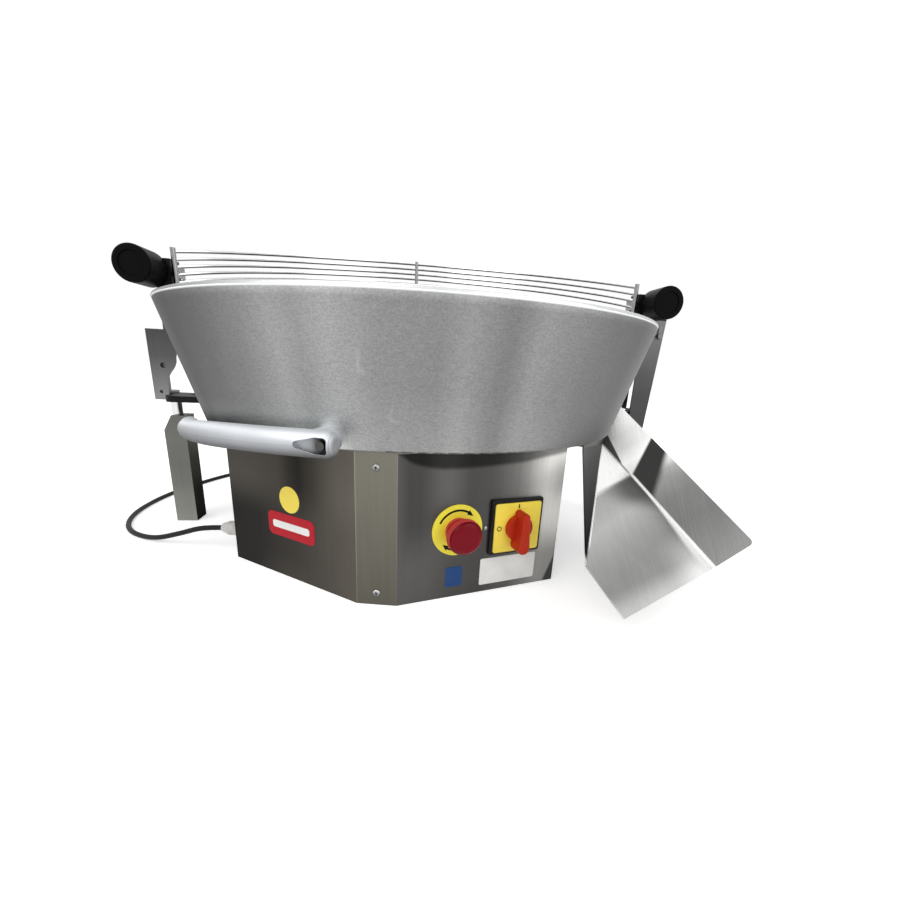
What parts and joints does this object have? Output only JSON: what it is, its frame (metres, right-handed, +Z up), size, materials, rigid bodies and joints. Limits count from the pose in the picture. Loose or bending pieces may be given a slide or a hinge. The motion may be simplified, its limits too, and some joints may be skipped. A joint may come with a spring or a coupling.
{
  "type": "dough rounder",
  "caption": "Bench dough rounder: a conical steel bowl with a turning spiral drum, a rear wire guard, a side outlet chute and front controls on a faceted base.",
  "frame": {"origin": "on the bench, under the bowl's axis, on the underside of the base", "axes": "+Z up; +X to the right of someone at the controls; +Y away from them, to the rear"},
  "size_m": [0.9141, 0.6796, 0.4703],
  "materials": {
    "bowl_steel": "satin stainless steel, drawn up and down",
    "base_steel": "satin stainless sheet",
    "frame_steel": "grey paint",
    "machined_steel": "ground steel",
    "cast_housing": "painted casting",
    "motor_paint": "painted",
    "seal_rubber": "matte",
    "relay_plastic": "matte",
    "drum_alloy": "cast and turned",
    "black_knob": "glossy",
    "cast_alloy": "pale blasted casting",
    "zinc_screw": "zinc plated",
    "column_steel": "satin",
    "chrome_post": "polished",
    "black_steel": "black paint",
    "upright_steel": "satin",
    "guard_wire": "bright wire",
    "chute_steel": "polished sheet",
    "yellow_plate": "matte",
    "black_plastic": "matte",
    "gland_plastic": "pale, matte",
    "stop_red": "glossy",
    "switch_red": "satin",
    "cord_rubber": "matte"
  },
  "bodies": {
    "base": {"bowl": "bowl_steel", "left_panel": "base_steel", "control_panel": "base_steel", "front_strip": "base_steel", "rear_cover": "base_steel", "deck_plate": "base_steel", "base_frame": "frame_steel", "base_pan": "frame_steel", "lower_bearing": "machined_steel", "upper_bearing": "machined_steel", "bearing_housing": "cast_housing", "gearbox": "cast_housing", "motor_body": "motor_paint", "fan_cover": "motor_paint", "shaft_seal": "seal_rubber", "left_column_foot": "seal_rubber", "right_column_foot": "seal_rubber", "contactor": "relay_plastic", "estop_contacts": "relay_plastic", "switch_body": "relay_plastic", "front_brace": "cast_alloy", "rear_brace": "cast_alloy", "brace_bolts": "zinc_screw", "panel_screws": "zinc_screw", "left_clip": "zinc_screw", "right_clip": "zinc_screw", "left_column": "column_steel", "right_column": "column_steel", "left_post": "chrome_post", "right_post": "chrome_post", "left_arm": "black_steel", "right_arm": "black_steel", "left_upright_bracket": "black_steel", "right_upright_bracket": "black_steel", "outlet_hood": "black_steel", "left_upright": "upright_steel", "right_upright": "upright_steel", "chute": "chute_steel", "chute_bracket": "chute_steel", "estop_legend": "yellow_plate", "switch_plate": "yellow_plate", "switch_frame": "black_plastic", "cord_gland": "gland_plastic", "estop_collar": "stop_red", "mains_cord": "cord_rubber", "cord_coil": "cord_rubber", "coil_tie": "cord_rubber", "mains_plug": "cord_rubber"},
    "auger": {"drive_shaft": "machined_steel", "rounding_drum": "drum_alloy", "spiral_flight": "drum_alloy"},
    "drum_knob": {"drum_knob": "black_knob"},
    "motor": {"motor_rotor": "machined_steel"},
    "guard": {"guard": "guard_wire"},
    "left_knob": {"left_knob": "black_knob"},
    "right_knob": {"right_knob": "black_knob"},
    "estop_plunger": {"estop_plunger": "black_plastic"},
    "estop_head": {"estop_head": "stop_red"},
    "switch_handle": {"switch_handle": "switch_red"}
  },
  "joints": [
    {"name": "auger_spin", "type": "hinge", "parent": "base", "child": "auger", "pos_m": [0, 0, 0.2], "axis": [0, 0, 1], "continuous": true},
    {"name": "drum_knob_turn", "type": "hinge", "parent": "auger", "child": "drum_knob", "pos_m": [0, 0, 0.335], "axis": [0, 0, 1], "range_deg": [0, 720]},
    {"name": "motor_spin", "type": "hinge", "parent": "base", "child": "motor", "pos_m": [0, 0.1, 0.098], "axis": [0, 1, 0], "continuous": true},
    {"name": "guard_swing", "type": "hinge", "parent": "base", "child": "guard", "pos_m": [-0.00248, 0.01479, 0.366], "axis": [0.9863, 0.165, 0], "range_deg": [0, 75]},
    {"name": "left_knob_turn", "type": "hinge", "parent": "base", "child": "left_knob", "pos_m": [-0.3742, -0.06262, 0.366], "axis": [-0.165, 0.9863, 0], "range_deg": [0, 360]},
    {"name": "right_knob_turn", "type": "hinge", "parent": "base", "child": "right_knob", "pos_m": [0.3742, 0.06262, 0.366], "axis": [-0.165, 0.9863, 0], "range_deg": [0, 360]},
    {"name": "estop_push", "type": "slide", "parent": "base", "child": "estop_plunger", "axis": [-0.4258, 0.9048, 0], "range_m": [0, 0.006], "stiffness_N_per_m": 600},
    {"name": "estop_twist", "type": "hinge", "parent": "estop_plunger", "child": "estop_head", "pos_m": [0.08423, -0.25483, 0.0835], "axis": [0.4258, -0.9048, 0], "range_deg": [0, 45], "stiffness_Nm_per_rad": 0.05},
    {"name": "switch_turn", "type": "hinge", "parent": "base", "child": "switch_handle", "pos_m": [0.15074, -0.22354, 0.0815], "axis": [0.4258, -0.9048, 0], "range_deg": [0, 90]}
  ],
  "couplings": [
    {"joint": "motor_spin", "follows": "auger_spin", "ratio": 20}
  ]
}
